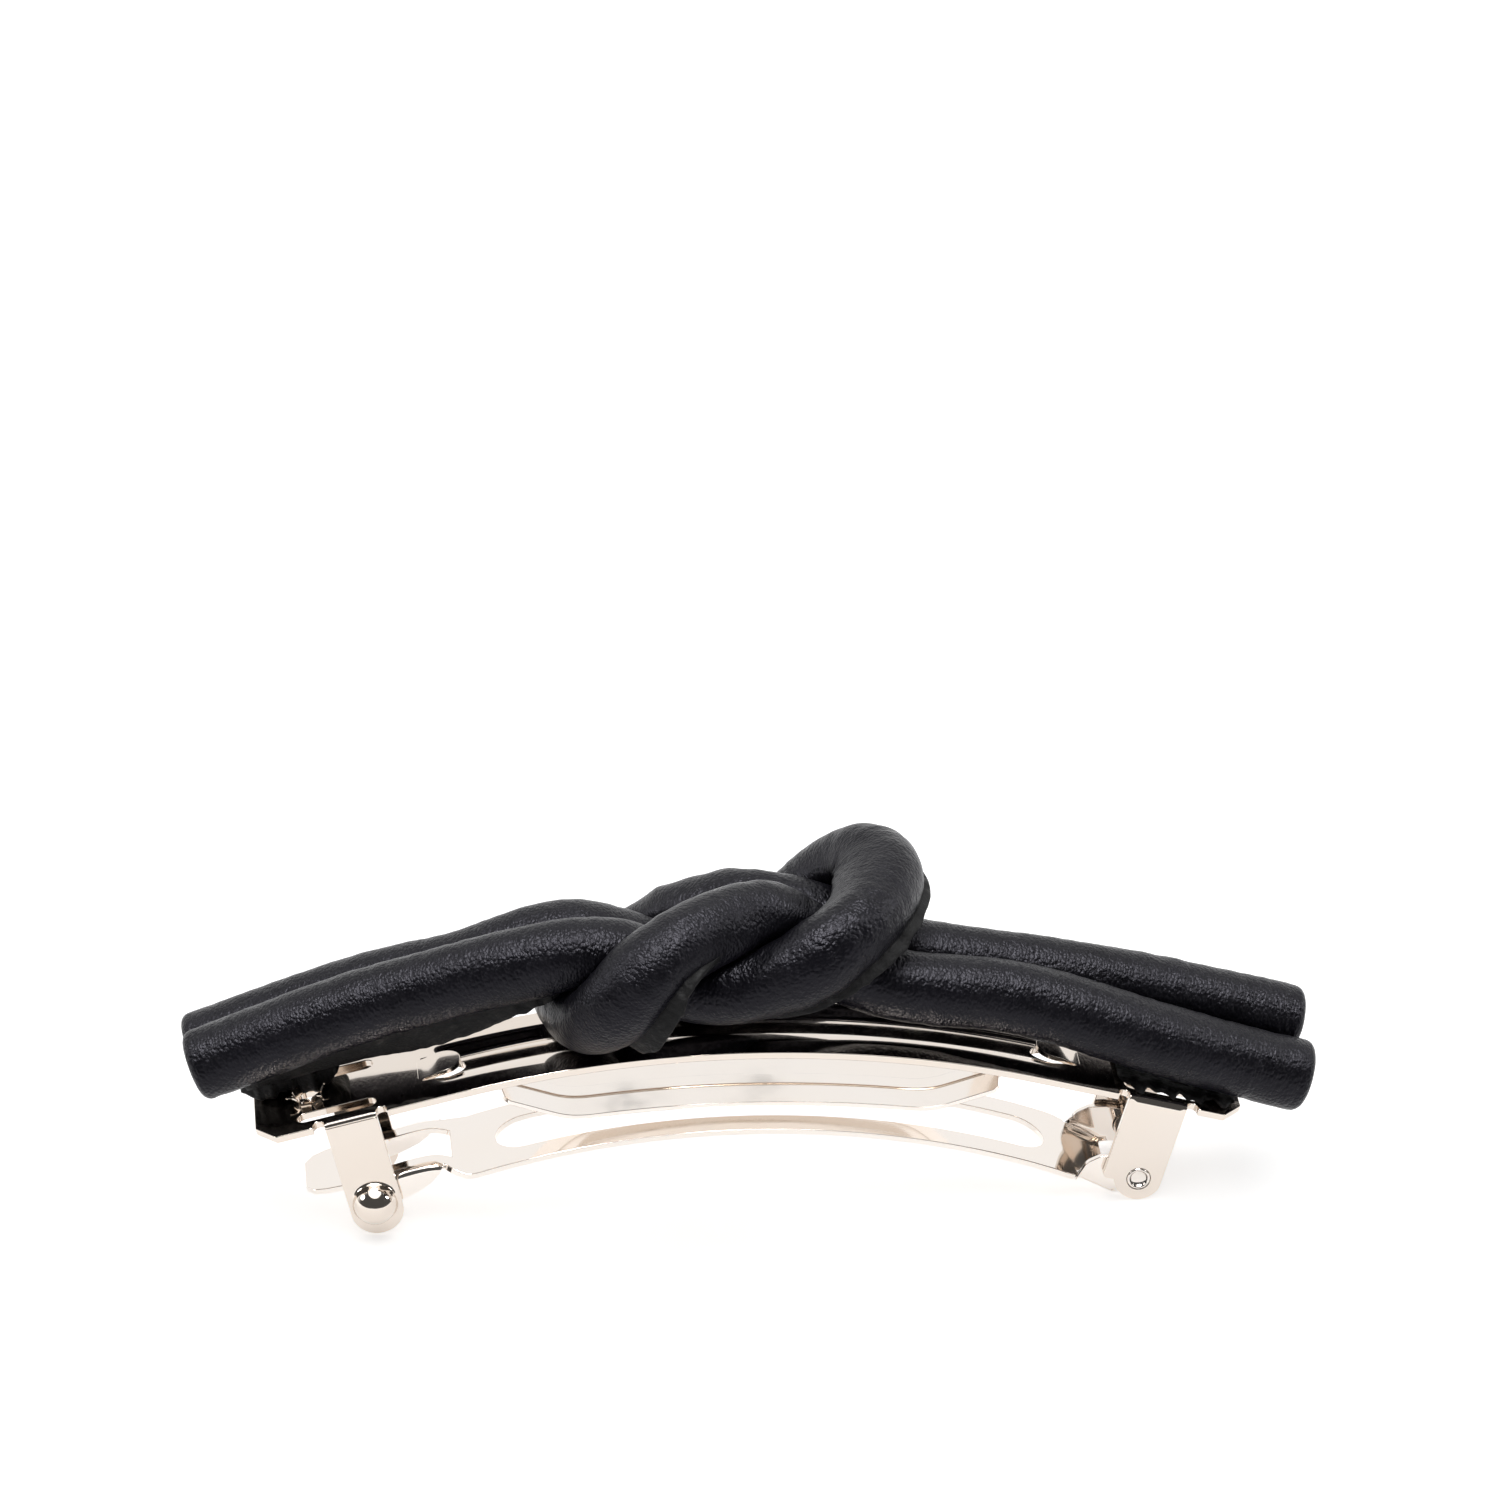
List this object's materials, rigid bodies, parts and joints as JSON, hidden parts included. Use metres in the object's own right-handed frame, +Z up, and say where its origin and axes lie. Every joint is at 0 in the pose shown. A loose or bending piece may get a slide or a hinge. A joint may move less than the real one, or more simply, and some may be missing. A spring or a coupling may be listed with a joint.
{
  "type": "hair barrette",
  "caption": "Automatic sprung hair barrette in nickel-plated steel, topped with a reef knot of black leather-covered cords.",
  "frame": {"origin": "bottom centre of the whole barrette's box, on the surface that it stands on", "axes": "+X along the clasp from the catch to the hinge, +Y to the back, +Z up"},
  "size_m": [0.0901, 0.0227, 0.0283],
  "materials": {
    "nickel_plate": "polished nickel plate",
    "nickel_arm": "polished nickel plate",
    "spring_steel": "polished nickel plate",
    "hinge_steel": "plated rolled tube",
    "black_leather": "fine-grained nappa with a soft sheen",
    "cord_filler": "twisted cotton filler",
    "rough_leather": "rough flesh side set in black glue"
  },
  "bodies": {
    "root": {"base_plate": "nickel_plate", "hinge_pin": "hinge_steel", "left_cord_sleeve": "black_leather", "left_cord_core": "cord_filler", "right_cord_sleeve": "black_leather", "right_cord_core": "cord_filler", "left_glue_pad": "rough_leather", "right_glue_pad": "rough_leather"},
    "arm": {"clasp_arm": "nickel_arm"},
    "front_tab": {"catch_tab_front": "nickel_plate"},
    "back_tab": {"catch_tab_back": "nickel_plate"},
    "bar": {"tension_bar": "spring_steel"}
  },
  "joints": [
    {"name": "arm_hinge", "type": "hinge", "parent": "root", "child": "arm", "pos_m": [0.03069, -0.0015, 0.00195], "axis": [0, -1, 0], "range_deg": [0, 95]},
    {"name": "front_tab_flex", "type": "hinge", "parent": "root", "child": "front_tab", "pos_m": [-0.03184, -0.0063, 0.0102], "axis": [-0.9741, 0, -0.226], "range_deg": [0, 5], "stiffness_Nm_per_rad": 0.4},
    {"name": "back_tab_flex", "type": "hinge", "parent": "root", "child": "back_tab", "pos_m": [-0.03184, 0.0033, 0.0102], "axis": [0.9741, 0, 0.226], "range_deg": [0, 5], "stiffness_Nm_per_rad": 0.4},
    {"name": "bar_flex", "type": "slide", "parent": "root", "child": "bar", "axis": [0.0251, 0, 0.9997], "range_m": [0, 0.00015], "stiffness_N_per_m": 3000}
  ]
}
